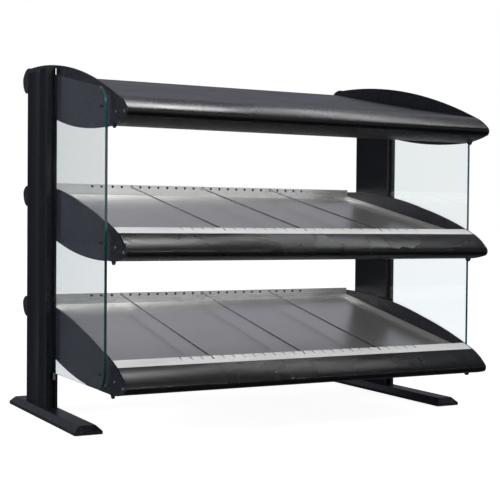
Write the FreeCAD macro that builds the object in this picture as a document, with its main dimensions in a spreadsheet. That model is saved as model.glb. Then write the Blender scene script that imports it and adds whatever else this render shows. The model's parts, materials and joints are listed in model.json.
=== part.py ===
import FreeCAD, Part
import os
from types import SimpleNamespace

import Sketcher

# Hot food display case: two fluted columns on long feet carry two slanted heated shelves and a hood.
# Millimetres, +Z up, front towards -Y, +X to the right seen from the front.
# The origin is the middle of the footprint, on the surface that the case stands on.

doc = FreeCAD.newDocument("hot_food_display_case")
Vector = FreeCAD.Vector


class Size:
    """A length together with the sheet expression that gives it."""

    def __init__(self, value, text):
        self.value = value
        self.text = text

    def __add__(self, other):
        other = as_size(other)
        return Size(self.value + other.value, f"({self.text} + {other.text})")

    def __sub__(self, other):
        other = as_size(other)
        return Size(self.value - other.value, f"({self.text} - {other.text})")

    def __mul__(self, other):
        other = as_size(other)
        return Size(self.value * other.value, f"({self.text} * {other.text})")

    def __truediv__(self, other):
        other = as_size(other)
        return Size(self.value / other.value, f"({self.text} / {other.text})")

    def __neg__(self):
        return Size(-self.value, f"(0 - {self.text})")

    __radd__ = __add__
    __rmul__ = __mul__

    def __rsub__(self, other):
        return as_size(other) - self


def as_size(number):
    if isinstance(number, Size):
        return number
    if number < 0:
        return Size(number, f"(0 - {-number})")
    return Size(number, str(number))


# ---------------------------------------------------------------- driving sizes

SIZES = {
    # overall
    "shelf_width": 914.4,
    "overall_depth": 710.0,
    "shelf_step": 277.4,
    "lower_slot_height": 168.6,
    "hood_tip_height": 680.0,
    # feet
    "foot_out": 19.7,
    "foot_width": 63.2,
    "foot_front": 166.0,
    "foot_rear": 53.0,
    "foot_top": 21.4,
    "foot_bevel": 12.3,
    "pad_height": 2.0,
    "pad_radius": 9.0,
    "pad_inset": 34.0,
    # columns
    "column_width": 28.0,
    "column_rear": 133.0,
    "column_depth": 153.0,
    "column_top": 818.0,
    "column_wall": 3.0,
    "column_plug": 30.0,
    "flute_depth": 7.0,
    "flute_ridge": 57.0,
    "column_land": 5.0,
    "channel_depth": 12.0,
    "channel_width": 12.6,
    "channel_inset": 5.4,
    # side glass
    "glass_thickness": 6.0,
    "glass_gap": 6.0,
    "glass_front": 88.0,
    "glass_bottom": 105.0,
    "glass_top_front": 735.4,
    "glass_top_rear": 801.0,
    "glass_corner": 40.0,
    "clip_depth": 7.0,
    "clip_height": 17.0,
    "bumper_radius": 3.6,
    "bumper_in": 34.0,
    "shelf_bumper_drop": 31.0,
    "hood_bumper_up": 21.0,
    "pin_radius": 1.6,
    "pin_gap": 6.5,
    "pin_height": 15.0,
    # end plates
    "plate_thickness": 4.0,
    "ear_back": 71.5,
    "ear_radius": 8.0,
    "shelf_ear_drop": 7.5,
    "hood_ear_drop": 5.2,
    "ear_hole": 3.4,
    "ear_hole_drop": 0.4,
    # shelf outline, from the tip backwards and from the slot line upwards
    "shelf_rear_top_in": 38.5,
    "shelf_rear_top_up": 101.0,
    "shelf_shoulder_back": 253.5,
    "shelf_shoulder_up": 53.0,
    "shelf_crown_up": 92.5,
    "shelf_brow_up": 25.8,
    "shelf_lip_back": 50.5,
    "shelf_lip_up": -10.0,
    "shelf_cheek_back": 22.0,
    "shelf_cheek_up": -26.3,
    "shelf_tip_top_back": 3.4,
    "shelf_tip_top_up": -42.0,
    "shelf_tip_up": -49.8,
    "shelf_tip_low_back": 9.0,
    "shelf_tip_low_up": -60.2,
    "shelf_chin_back": 45.0,
    "shelf_chin_up": -67.3,
    "shelf_keel_back": 93.5,
    "shelf_keel_up": -69.0,
    "shelf_belly_up": -42.5,
    "shelf_rear_low_in": 42.5,
    "shelf_rear_low_up": 50.0,
    "shelf_heel_in": 12.0,
    "shelf_heel_up": 66.0,
    "shelf_rear_in": 7.0,
    "shelf_rear_up": 86.0,
    "shelf_nape_in": 17.5,
    "shelf_nape_up": 95.5,
    # hood outline, from the tip backwards and from the tip upwards
    "hood_rear_top_in": 60.5,
    "hood_rear_top_up": 158.5,
    "hood_crown_up": 128.0,
    "hood_crease_back": 48.5,
    "hood_crease_up": 37.0,
    "hood_cheek_back": 19.5,
    "hood_cheek_up": 22.0,
    "hood_tip_top_back": 2.6,
    "hood_tip_top_up": 8.5,
    "hood_tip_up": 1.3,
    "hood_tip_low_back": 7.6,
    "hood_tip_low_up": -8.7,
    "hood_chin_back": 45.0,
    "hood_chin_up": -17.5,
    "hood_keel_back": 83.5,
    "hood_keel_up": -22.5,
    "hood_belly_up": 3.5,
    "hood_rear_low_in": 37.5,
    "hood_rear_low_up": 99.0,
    "hood_heel_in": 4.4,
    "hood_heel_up": 117.0,
    "hood_rear_in": 0.4,
    "hood_rear_up": 139.0,
    "hood_nape_in": 17.4,
    "hood_nape_up": 154.0,
    "hood_top_rear_in": 61.0,
    "hood_top_rear_up": 145.0,
    # sheet metal and extrusions
    "nose_wall": 3.0,
    "sheet_wall": 1.2,
    "fit_gap": 0.4,
    "pan_lift": 3.6,
    "panel_overlap": 4.0,
    "hem": 7.0,
    "rear_panel_in": 36.5,
    "hood_panel_in": 58.0,
    # trays
    "crest_back": 80.5,
    "crest_up": 2.0,
    "floor_front_up": -22.0,
    "floor_rear_up": 81.0,
    "fence_in": 95.5,
    "fence_height": 26.5,
    "fence_hole_rise": 20.9,
    "fence_hole": 3.2,
    "slot_pitch": 25.4,
    "slot_width": 4.6,
    "slot_reach": 13.0,
    "slot_drop": 9.0,
    "side_flange": 9.0,
    # divider rods
    "rod_radius": 2.0,
    "rod_overhang": 5.0,
    "rod_nose": 10.0,
    "rod_seat_up": -1.5,
    "collar_radius": 5.0,
    "collar_width": 2.0,
    # heating and lighting
    "blanket_thickness": 3.0,
    "insulation_thickness": 12.0,
    "blanket_margin": 28.0,
    "trough_width": 84.0,
    "trough_rise": 26.0,
    "element_radius": 4.0,
    "element_margin": 40.0,
    "bracket_width": 2.0,
    "lamp_radius": 9.0,
    "lamp_length": 120.0,
    "lamp_spacing": 300.0,
    "socket_length": 26.0,
    # controls
    "knob_radius": 15.0,
    "knob_length": 14.0,
    "knob_clearance": 1.0,
    "knob_side": 300.0,
    "spindle_radius": 3.0,
    "spindle_gap": 0.05,
    "spindle_reach": 26.0,
    "thermostat_side": 26.0,
    "thermostat_length": 20.0,
    "control_up": 76.0,
    "hood_control_up": 117.0,
    "switch_side": 240.0,
    "switch_width": 22.0,
    "switch_height": 14.0,
    "switch_depth": 16.0,
    "switch_rim": 1.6,
    "rocker_gap": 0.4,
    "rocker_radius": 5.6,
    "rocker_crown": 3.4,
    "light_side": 205.0,
    "light_radius": 4.0,
    "inlet_side": 380.0,
    "inlet_radius": 13.0,
    "inlet_length": 12.0,
    "inlet_bore": 5.0,
    # fasteners
    "screw_radius": 2.0,
    "screw_head": 3.6,
    "screw_head_height": 1.6,
    "screw_length": 12.0,
    "screw_gap": 0.2,
    "shelf_column_screw_up": 30.0,
    "hood_column_screw_up": 85.0,
    "column_screw_spacing": 70.0,
    "boss_width": 8.0,
    "bolt_radius": 4.0,
    "bolt_head": 6.5,
    "bolt_head_height": 5.0,
    "bolt_recess": 1.0,
    "bolt_length": 44.0,
    "bolt_spacing": 90.0,
}

SLOT_COUNT = 25
SLOT_MIDDLE = 12
ROCKER_REST = -8
CORNER_BEND = 0.31
HEAT_TROUGH_PLACE = 25 / 71
LAMP_TROUGH_PLACE = 40 / 71
WELL_OVERCUT = 0.01
SCREW_TIP = 2
UPPER_RODS = (4, 12, 20)
LOWER_RODS = (3, 12, 20)

sheet = doc.addObject("Spreadsheet::Sheet", "sizes")
for row, (alias, number) in enumerate(SIZES.items(), start=1):
    sheet.set(f"A{row}", alias)
    sheet.set(f"B{row}", str(number))
    sheet.setAlias(f"B{row}", alias)
doc.recompute()
s = SimpleNamespace(**{alias: Size(number, f"sizes.{alias}") for alias, number in SIZES.items()})

half_width = s.shelf_width / 2
plate_face = half_width + s.plate_thickness
glass_inner = plate_face + s.glass_gap
glass_outer = glass_inner + s.glass_thickness
column_outer = plate_face + s.column_width
upper_slot_height = s.lower_slot_height + s.shelf_step
heat_trough_back = s.overall_depth * HEAT_TROUGH_PLACE
lamp_trough_back = s.overall_depth * LAMP_TROUGH_PLACE
fence_top_up = s.floor_rear_up + s.fence_height
fence_hole_up = s.floor_rear_up + s.fence_hole_rise
SIDES = (("left", -1), ("right", 1))


def back(distance):
    """The y of a point that lies this far behind the front tips."""
    return distance - s.overall_depth / 2


def inwards(distance):
    """The y of a point that lies this far in front of the rearmost edge."""
    return s.overall_depth / 2 - distance


def middle(first, second):
    return (first + second) / 2


# ---------------------------------------------------------------- building blocks

PLANES = {
    "xy": FreeCAD.Rotation(),
    "yz": FreeCAD.Rotation(Vector(1, 1, 1), 120),
    "xz": FreeCAD.Rotation(Vector(1, 0, 0), 90),
}
ALONG = {
    "x": (Vector(1, 0, 0), FreeCAD.Rotation(Vector(0, 1, 0), 90)),
    "y": (Vector(0, 1, 0), FreeCAD.Rotation(Vector(1, 0, 0), -90)),
    "z": (Vector(0, 0, 1), FreeCAD.Rotation()),
}
nodes = []


def bind(item, name, value):
    item.setExpression(name, as_size(value).text)


def place(item, x=0, y=0, z=0, rotation=None):
    x, y, z = as_size(x), as_size(y), as_size(z)
    item.Placement = FreeCAD.Placement(Vector(x.value, y.value, z.value), rotation or FreeCAD.Rotation())
    bind(item, "Placement.Base.x", x)
    bind(item, "Placement.Base.y", y)
    bind(item, "Placement.Base.z", z)
    return item


def node(item, name):
    """Marks an object as a finished sub-part under its own name."""
    item.Label = name
    nodes.append(item)
    return item


def outline(plane, start, path, closed=True, x=0, y=0, z=0):
    """A fully constrained sketch: each step of the path is a point, or a pair (point passed, end point)."""
    sketch = doc.addObject("Sketcher::SketchObject", "outline")
    place(sketch, x, y, z, PLANES[plane])
    steps = [step if isinstance(step[0], tuple) else (None, step) for step in path]
    if closed and steps[-1][1] is not start:
        steps.append((None, start))

    def fix(geometry, vertex, point):
        for kind, value in zip(("DistanceX", "DistanceY"), point):
            value = as_size(value)
            index = sketch.addConstraint(Sketcher.Constraint(kind, -1, 1, geometry, vertex, value.value))
            bind(sketch, f"Constraints[{index}]", value)

    def spot(point):
        return Vector(as_size(point[0]).value, as_size(point[1]).value, 0)

    here = start
    for via, end in steps:
        first, last = spot(here), spot(end)
        if via is None:
            piece = sketch.addGeometry(Part.LineSegment(first, last), False)
            head = 1
        else:
            passed = spot(via)
            anticlockwise = (passed - first).cross(last - passed).z > 0
            ends = (first, last) if anticlockwise else (last, first)
            piece = sketch.addGeometry(Part.Arc(ends[0], passed, ends[1]), False)
            head = 1 if anticlockwise else 2
            mark = sketch.addGeometry(Part.Point(passed), True)
            fix(mark, 1, via)
            sketch.addConstraint(Sketcher.Constraint("PointOnObject", mark, 1, piece))
        fix(piece, head, here)
        fix(piece, 3 - head, end)
        here = end
    return sketch


def extrude(sketch, length, direction="x", centred=False):
    solid = doc.addObject("Part::Extrusion", "extrusion")
    solid.Base = sketch
    solid.DirMode = "Custom"
    solid.Dir = ALONG[direction][0]
    solid.Solid = True
    solid.Symmetric = centred
    bind(solid, "LengthFwd", length)
    return solid


def bent_sheet(start, path, wall, length, x=0, z=0):
    """A sheet along X: an open outline in the YZ plane, thickened to its left, extruded."""
    line = outline("yz", start, path, closed=False, x=x, z=z)
    section = doc.addObject("Part::Offset2D", "section")
    section.Source = line
    section.Mode = "Skin"
    section.Join = 2
    section.Fill = True
    bind(section, "Value", -as_size(wall))
    return extrude(section, length, "x", centred=True)


def block(width, depth, height, x, y, z):
    """A box whose x and y are its middle and whose z is its foot."""
    item = doc.addObject("Part::Box", "block")
    bind(item, "Length", width)
    bind(item, "Width", depth)
    bind(item, "Height", height)
    return place(item, x - as_size(width) / 2, y - as_size(depth) / 2, z)


def rod(radius, length, axis, x, y, z):
    """A cylinder that starts at the given point and runs along an axis."""
    item = doc.addObject("Part::Cylinder", "rod")
    bind(item, "Radius", radius)
    bind(item, "Height", length)
    return place(item, x, y, z, ALONG[axis][1])


def fuse(*items):
    item = doc.addObject("Part::MultiFuse", "fusion")
    item.Shapes = list(items)
    return item


def cut(base, *tools):
    item = doc.addObject("Part::Cut", "cut")
    item.Base = base
    item.Tool = tools[0] if len(tools) == 1 else fuse(*tools)
    return item


def group(*items):
    """Identical small pieces kept as separate solids in one node."""
    item = doc.addObject("Part::Compound", "group")
    item.Links = list(items)
    return item


# ---------------------------------------------------------------- feet and columns

column_front = inwards(s.column_rear + s.column_depth)
foot_centre = half_width + s.foot_out
foot_length = s.overall_depth - s.foot_front - s.foot_rear
foot_middle = (back(s.foot_front) + inwards(s.foot_rear)) / 2
column_y = middle(column_front, inwards(s.column_rear))
core_width = s.column_width - s.flute_depth - 2 * s.column_wall
bolt_side = plate_face + s.column_wall + core_width / 2
column_screw_heights = (
    s.lower_slot_height + s.shelf_column_screw_up,
    upper_slot_height + s.shelf_column_screw_up,
    s.hood_tip_height + s.hood_column_screw_up,
)


def foot_part(side):
    """A long bar whose four upper edges are bevelled."""
    blank = doc.addObject("Part::Wedge", "bevelled_top")
    half_foot = s.foot_width / 2
    for name, value in (
        ("Xmin", -half_foot), ("Xmax", half_foot),
        ("Zmin", -foot_length / 2), ("Zmax", foot_length / 2),
        ("X2min", s.foot_bevel - half_foot), ("X2max", half_foot - s.foot_bevel),
        ("Z2min", s.foot_bevel - foot_length / 2), ("Z2max", foot_length / 2 - s.foot_bevel),
        ("Ymin", 0), ("Ymax", s.foot_bevel),
    ):
        bind(blank, name, value)
    place(blank, side * foot_centre, foot_middle, s.foot_top - s.foot_bevel,
          FreeCAD.Rotation(Vector(1, 0, 0), 90))
    band = block(s.foot_width, foot_length, s.foot_top - s.foot_bevel - s.pad_height,
                 side * foot_centre, foot_middle, s.pad_height)
    holes = []
    for y in bolt_places():
        holes.append(rod(s.bolt_radius + s.screw_gap, s.foot_top, "z", side * bolt_side, y, 0))
        holes.append(rod(s.bolt_head + s.screw_gap, s.bolt_recess + s.bolt_head_height, "z",
                         side * bolt_side, y, s.pad_height))
    return cut(fuse(band, blank), *holes)


def bolt_places():
    return (column_y - s.bolt_spacing / 2, column_y + s.bolt_spacing / 2)


def column_part(side):
    """A hollow extrusion: two scalloped flutes outside, a flat inner face and a glass channel in front."""
    inner = side * plate_face
    outer = side * column_outer
    floor = side * (column_outer - s.flute_depth)
    front = column_front
    rear = inwards(s.column_rear)
    ridge = front + s.flute_ridge
    profile = outline("xy", (inner, front), [
        (outer, front),
        (outer, front + s.column_land),
        ((floor, middle(front + s.column_land, ridge)), (outer, ridge)),
        ((floor, middle(ridge, rear - s.column_land)), (outer, rear - s.column_land)),
        (outer, rear),
        (inner, rear),
    ], z=s.foot_top)
    tall = s.column_top - s.foot_top
    channel = block(s.channel_width, s.channel_depth, tall,
                    side * (plate_face + s.channel_inset + s.channel_width / 2),
                    front + s.channel_depth / 2, s.foot_top)
    core_front = front + s.channel_depth + s.column_wall
    core = block(core_width, rear - s.column_wall - core_front, tall - 2 * s.column_plug,
                 side * bolt_side, middle(core_front, rear - s.column_wall), s.foot_top + s.column_plug)
    holes = [rod(s.bolt_radius, s.bolt_length, "z", side * bolt_side, y, s.pad_height + s.bolt_recess)
             for y in bolt_places()]
    for height in column_screw_heights:
        for along in (-s.column_screw_spacing / 2, s.column_screw_spacing / 2):
            holes.append(rod(s.screw_radius, s.column_wall, "x",
                             inner if side > 0 else inner - s.column_wall, column_y + along, height))
    return cut(extrude(profile, tall, "z"), channel, core, *holes)


def channel_strip(side):
    """A rubber strip that wedges the glass against the inner side of its channel."""
    free = s.channel_width - (glass_outer - plate_face - s.channel_inset)
    deep = s.channel_depth - s.column_wall
    return block(free - s.fit_gap, deep, s.glass_top_rear - s.glass_bottom,
                 side * (glass_outer + free / 2), column_front + s.channel_depth - deep / 2,
                 s.glass_bottom)


def pad_places():
    for side in (-1, 1):
        for y in (back(s.foot_front) + s.pad_inset, inwards(s.foot_rear) - s.pad_inset):
            yield side, y


for name, side in SIDES:
    node(foot_part(side), f"{name}_foot")
    node(column_part(side), f"{name}_column")
node(group(*[rod(s.pad_radius, s.pad_height, "z", side * foot_centre, y, 0) for side, y in pad_places()]),
     "foot_pads")
node(group(*[fuse(rod(s.bolt_radius, s.bolt_length, "z", side * bolt_side, y, s.pad_height + s.bolt_recess),
                  rod(s.bolt_head, s.bolt_head_height, "z", side * bolt_side, y, s.pad_height + s.bolt_recess))
             for name, side in SIDES for y in bolt_places()]), "foot_bolts")
node(group(*[channel_strip(side) for name, side in SIDES]), "channel_strips")


# ---------------------------------------------------------------- side glass

glass_rear = column_front + s.channel_depth - s.fit_gap
glass_slope = (s.glass_top_rear - s.glass_top_front) / (glass_rear - back(s.glass_front))


def glass_part(side):
    """A pane with a sloping top edge and two rounded front corners."""
    front = back(s.glass_front)
    low = s.glass_bottom
    bend = s.glass_corner * CORNER_BEND
    slope = glass_slope
    top_start = s.glass_top_front
    profile = outline("yz", (glass_rear, low), [
        (front + s.glass_corner, low),
        ((front + bend, low + bend), (front, low + s.glass_corner)),
        (front, top_start - s.glass_corner),
        ((front + bend, top_start + slope * bend - bend),
         (front + s.glass_corner, top_start + slope * s.glass_corner)),
        (glass_rear, s.glass_top_rear),
    ], x=glass_inner if side > 0 else -glass_outer)
    return extrude(profile, s.glass_thickness)


for name, side in SIDES:
    node(glass_part(side), f"{name}_side_glass")

node(group(*[block(s.glass_thickness, s.clip_depth, s.clip_height,
                   side * middle(glass_inner, glass_outer), column_front, s.glass_bottom - s.clip_height)
             for name, side in SIDES]), "glass_clips")
bumper_heights = (s.lower_slot_height - s.shelf_bumper_drop, upper_slot_height - s.shelf_bumper_drop,
                  s.hood_tip_height + s.hood_bumper_up)
node(group(*[rod(s.bumper_radius, s.glass_gap, "x", plate_face if side > 0 else -glass_inner,
                 back(s.glass_front + s.bumper_in), height)
             for name, side in SIDES for height in bumper_heights]), "glass_bumpers")
pin_y = column_front - s.pin_gap
pin_z = s.glass_top_rear - glass_slope * (glass_rear - pin_y - s.pin_radius)
pin_side = middle(glass_inner, glass_outer)
node(group(*[fuse(rod(s.pin_radius, s.pin_height, "z", side * pin_side, pin_y, pin_z),
                  rod(s.pin_radius, s.pin_gap + s.channel_depth, "y", side * pin_side, pin_y,
                      pin_z + s.pin_height - 2 * s.pin_radius))
             for name, side in SIDES]), "glass_top_pins")


# ---------------------------------------------------------------- end plates

def shelf_points():
    """The outline of a shelf end, as (y, z) from the slot line, by name."""
    keel = (back(s.shelf_keel_back), s.shelf_keel_up)
    rear_low = (inwards(s.shelf_rear_low_in), s.shelf_rear_low_up)
    rear_top = (inwards(s.shelf_rear_top_in), s.shelf_rear_top_up)
    shoulder = (back(s.shelf_shoulder_back), s.shelf_shoulder_up)
    lip = (back(s.shelf_lip_back), s.shelf_lip_up)
    return SimpleNamespace(
        rear_top=rear_top, shoulder=shoulder, lip=lip, keel=keel, rear_low=rear_low,
        crown=(middle(shoulder[0], rear_top[0]), s.shelf_crown_up),
        brow=(middle(shoulder[0], lip[0]), s.shelf_brow_up),
        cheek=(back(s.shelf_cheek_back), s.shelf_cheek_up),
        tip_top=(back(s.shelf_tip_top_back), s.shelf_tip_top_up),
        tip=(back(0), s.shelf_tip_up),
        tip_low=(back(s.shelf_tip_low_back), s.shelf_tip_low_up),
        chin=(back(s.shelf_chin_back), s.shelf_chin_up),
        belly=(middle(keel[0], rear_low[0]), s.shelf_belly_up),
        heel=(inwards(s.shelf_heel_in), s.shelf_heel_up),
        rear=(inwards(s.shelf_rear_in), s.shelf_rear_up),
        nape=(inwards(s.shelf_nape_in), s.shelf_nape_up),
    )


def hood_points():
    """The outline of a hood end, as (y, z) from the height of the tip, by name."""
    keel = (back(s.hood_keel_back), s.hood_keel_up)
    rear_low = (inwards(s.hood_rear_low_in), s.hood_rear_low_up)
    rear_top = (inwards(s.hood_rear_top_in), s.hood_rear_top_up)
    crease = (back(s.hood_crease_back), s.hood_crease_up)
    return SimpleNamespace(
        rear_top=rear_top, lip=crease, keel=keel, rear_low=rear_low,
        crown=(middle(crease[0], rear_top[0]), s.hood_crown_up),
        cheek=(back(s.hood_cheek_back), s.hood_cheek_up),
        tip_top=(back(s.hood_tip_top_back), s.hood_tip_top_up),
        tip=(back(0), s.hood_tip_up),
        tip_low=(back(s.hood_tip_low_back), s.hood_tip_low_up),
        chin=(back(s.hood_chin_back), s.hood_chin_up),
        belly=(middle(keel[0], rear_low[0]), s.hood_belly_up),
        heel=(inwards(s.hood_heel_in), s.hood_heel_up),
        rear=(inwards(s.hood_rear_in), s.hood_rear_up),
        nape=(inwards(s.hood_nape_in), s.hood_nape_up),
    )


shelf = shelf_points()
hood = hood_points()
SHELF_SCREWS = ((10.5, -48.5, 10), (57.5, -40, 26.5))
HOOD_SCREWS = ((11.5, 2.5, 10), (57.5, 5, 23))


def nose_path(points):
    """The front of an end outline, from the lip over the tip to the keel."""
    return [(points.cheek, points.tip_top), (points.tip, points.tip_low), (points.chin, points.keel)]


def ear_height(points, height, ear_drop):
    return height + points.keel[1] - ear_drop + s.ear_radius


def end_plate(side, points, height, screws, screw_height, ear_drop):
    """A flat plate with a pierced ear under its front and clearance holes for its screws."""
    path = [(points.belly, points.rear_low), (points.heel, points.rear), (points.nape, points.rear_top)]
    if points is shelf:
        path += [(points.crown, points.shoulder), (points.brow, points.lip)]
    else:
        path += [(points.crown, points.lip)]
    path += nose_path(points)
    start = half_width if side > 0 else -plate_face
    blank = extrude(outline("yz", points.keel, path, x=start, z=height), s.plate_thickness)
    ear_y = back(s.ear_back)
    ear_z = ear_height(points, height, ear_drop)
    ear = rod(s.ear_radius, s.plate_thickness, "x", start, ear_y, ear_z)
    holes = [rod(s.ear_hole, s.plate_thickness, "x", start, ear_y, ear_z - s.ear_hole_drop)]
    for distance, up, drop in screws:
        holes.append(rod(s.screw_radius + s.screw_gap, s.plate_thickness, "x",
                         start, back(distance), height + up))
    for along in (-s.column_screw_spacing / 2, s.column_screw_spacing / 2):
        holes.append(rod(s.screw_radius + s.screw_gap, s.plate_thickness, "x",
                         start, column_y + along, screw_height))
    return cut(fuse(blank, ear), *holes)


def screw(toward, start, length, y, z):
    """A pan-head screw that runs to one side along X, its head resting on the face where it starts."""
    first, head_first = (start, start - s.screw_head_height) if toward > 0 else (start - length, start)
    return fuse(rod(s.screw_radius, length, "x", first, y, z),
                rod(s.screw_head, s.screw_head_height, "x", head_first, y, z))


plate_screws = []
column_screws = []
LEVELS = (
    ("lower", shelf, s.lower_slot_height, SHELF_SCREWS, column_screw_heights[0], s.shelf_ear_drop),
    ("upper", shelf, upper_slot_height, SHELF_SCREWS, column_screw_heights[1], s.shelf_ear_drop),
    ("hood", hood, s.hood_tip_height, HOOD_SCREWS, column_screw_heights[2], s.hood_ear_drop),
)
for level, points, height, screws, screw_height, ear_drop in LEVELS:
    for name, side in SIDES:
        node(end_plate(side, points, height, screws, screw_height, ear_drop), f"{level}_{name}_end")
        for distance, up, drop in screws:
            plate_screws.append(screw(-side, side * plate_face, s.screw_length, back(distance), height + up))
        for along in (-s.column_screw_spacing / 2, s.column_screw_spacing / 2):
            column_screws.append(screw(side, side * half_width, s.plate_thickness + s.column_wall + SCREW_TIP,
                                       column_y + along, screw_height))
node(group(*plate_screws), "end_plate_screws")
node(group(*column_screws), "column_screws")


# ---------------------------------------------------------------- noses, pans and panels

inner_length = s.shelf_width - 2 * s.fit_gap


def nose(points, height, screws, ear_drop):
    """The rounded front extrusion, with a boss for each end screw and a notch behind each ear's hole."""
    shell = bent_sheet(points.lip, nose_path(points), s.nose_wall, inner_length, z=height)
    bosses = []
    holes = []
    for side in (-1, 1):
        for distance, up, drop in screws:
            bosses.append(block(s.screw_length, s.boss_width, drop + s.boss_width / 2,
                                side * (inner_length - s.screw_length) / 2, back(distance), height + up - drop))
            holes.append(rod(s.screw_radius, s.screw_length, "x", end_start(side),
                             back(distance), height + up))
        holes.append(rod(s.ear_hole * 1.5, s.screw_length, "x", end_start(side), back(s.ear_back),
                         ear_height(points, height, ear_drop) - s.ear_hole_drop))
    return cut(fuse(shell, *bosses), *holes)


def end_start(side):
    """Where a cut of one screw's length starts in X so that it ends at one end of the inner length."""
    return side * (inner_length - s.screw_length) / 2 - s.screw_length / 2


def shifted(point, along=0, up=0):
    return (point[0] + along, point[1] + up)


def tray(height):
    """One bent sheet: slotted front lip, sloping floor and pierced rear fence, with low side flanges."""
    crest = (back(s.crest_back), s.crest_up)
    floor_front = (back(s.crest_back), s.floor_front_up)
    floor_rear = (inwards(s.fence_in), s.floor_rear_up)
    fence_top = (inwards(s.fence_in), fence_top_up)
    lip_end = shifted(shelf.lip, s.fit_gap, s.fit_gap / 2)
    body = bent_sheet(fence_top, [floor_rear, floor_front, crest, lip_end], s.sheet_wall, inner_length, z=height)
    flanges = []
    for side in (-1, 1):
        edge = side * (inner_length / 2 - s.sheet_wall / 2) - s.sheet_wall / 2
        strip = outline("yz", floor_front, [
            floor_rear,
            shifted(floor_rear, 0, s.side_flange),
            shifted(floor_front, 0, s.side_flange),
        ], x=edge, z=height)
        flanges.append(extrude(strip, s.sheet_wall))
    tools = []
    for index in range(SLOT_COUNT):
        x = (index - SLOT_MIDDLE) * s.slot_pitch
        tools.append(block(s.slot_width, s.slot_reach + 2 * s.sheet_wall, 4 * s.slot_drop, x,
                           back(s.crest_back) - s.slot_reach / 2, height + s.crest_up - s.slot_drop))
        tools.append(rod(s.fence_hole, 4 * s.sheet_wall, "y", x, inwards(s.fence_in) - 2 * s.sheet_wall,
                         height + fence_hole_up))
    return cut(fuse(body, *flanges), *tools)


def slab(height, drop, thickness):
    """A flat layer under the tray floor, between the front lip and the fence."""
    rise = (s.floor_rear_up - s.floor_front_up) / (inwards(s.fence_in) - back(s.crest_back))
    start_y = back(s.crest_back) + s.blanket_margin
    end_y = inwards(s.fence_in) - s.blanket_margin
    start_z = s.floor_front_up + rise * s.blanket_margin - drop
    end_z = s.floor_rear_up - rise * s.blanket_margin - drop
    profile = outline("yz", (start_y, start_z), [
        (end_y, end_z),
        (end_y, end_z - thickness),
        (start_y, start_z - thickness),
    ], z=height)
    return extrude(profile, inner_length - 2 * s.blanket_margin, "x", centred=True)


def underside(points, y):
    """A height on the chords that join an end outline's keel, belly and rear points."""
    low, high = (points.keel, points.belly)
    if as_size(y).value > points.belly[0].value:
        low, high = (points.belly, points.rear_low)
    return low[1] + (high[1] - low[1]) * (y - low[0]) / (high[0] - low[0])


def trough(points, distance):
    """Corner points of an inverted channel let into a pan, and the middle of its mouth."""
    near = back(distance)
    far = back(distance + s.trough_width)
    near_z = underside(points, near) + s.pan_lift
    far_z = underside(points, far) + s.pan_lift
    top = far_z + s.trough_rise
    slant = s.trough_rise / 2
    return [(near, near_z), (near + slant, top), (far - slant, top), (far, far_z)]


def trough_middle(points, distance):
    corners = trough(points, distance)
    return middle(corners[0][0], corners[3][0]), corners[1][1]


def pan(points, height, rear_in, troughs):
    """The underside sheet, just inside the end plates' lower edge."""
    start = shifted(points.keel, 2 * s.fit_gap, s.pan_lift)
    end_y = inwards(rear_in) - s.panel_overlap
    end = (end_y, underside(points, end_y) + s.pan_lift)
    path = []
    for distance in troughs:
        path += trough(points, distance)
    path.insert(4 if troughs else 0, shifted(points.belly, 0, s.pan_lift))
    return bent_sheet(start, path + [end], s.sheet_wall, inner_length, z=height)


for level, height, troughs in (
    ("lower", s.lower_slot_height, ()),
    ("upper", upper_slot_height, (heat_trough_back, lamp_trough_back)),
):
    node(nose(shelf, height, SHELF_SCREWS, s.shelf_ear_drop), f"{level}_nose")
    node(tray(height), f"{level}_tray")
    node(slab(height, s.sheet_wall + s.fit_gap / 2, s.blanket_thickness), f"{level}_blanket_heater")
    node(slab(height, s.sheet_wall + s.fit_gap / 2 + s.blanket_thickness, s.insulation_thickness),
         f"{level}_insulation")
    node(pan(shelf, height, s.rear_panel_in, troughs), f"{level}_pan")

node(nose(hood, s.hood_tip_height, HOOD_SCREWS, s.hood_ear_drop), "hood_nose")
node(pan(hood, s.hood_tip_height, s.hood_panel_in, (heat_trough_back, lamp_trough_back)), "hood_pan")
hood_rear_edge = (inwards(s.hood_top_rear_in), s.hood_top_rear_up)
node(bent_sheet(shifted(hood.lip, s.fit_gap, 0), [hood_rear_edge, shifted(hood_rear_edge, 0, -s.hem)],
                -s.sheet_wall, inner_length, z=s.hood_tip_height), "hood_top_panel")


# ---------------------------------------------------------------- heating elements and lamps

BAYS = (("upper_bay", hood, s.hood_tip_height), ("lower_bay", shelf, upper_slot_height))
element_length = inner_length - 2 * s.element_margin
brackets = []
lamps = []
sockets = []
for bay, points, height in BAYS:
    y, top = trough_middle(points, heat_trough_back)
    z = height + top - s.trough_rise / 2
    node(rod(s.element_radius, element_length, "x", -element_length / 2, y, z), f"{bay}_element")
    for side in (-1, 0, 1):
        x = side * (element_length / 2 - s.element_margin)
        arm = block(s.bracket_width, 4 * s.element_radius, s.trough_rise / 2 + 2 * s.element_radius,
                    x, y, z - 2 * s.element_radius)
        brackets.append(cut(arm, rod(s.element_radius, 3 * s.bracket_width, "x", x - s.bracket_width, y, z)))
    y, top = trough_middle(points, lamp_trough_back)
    z = height + top - s.lamp_radius - s.bracket_width
    for place_index in (-1, 0, 1):
        x = place_index * s.lamp_spacing
        lamps.append(rod(s.lamp_radius, s.lamp_length, "x", x - s.lamp_length / 2, y, z))
        for side in (-1, 1):
            sockets.append(block(s.socket_length, 2 * s.lamp_radius, 2 * s.lamp_radius + s.bracket_width,
                                 x + side * (s.lamp_length + s.socket_length) / 2, y, z - s.lamp_radius))
node(group(*brackets), "element_brackets")
node(group(*lamps), "display_lamps")
node(group(*sockets), "lamp_sockets")


# ---------------------------------------------------------------- rear panels and controls

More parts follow.
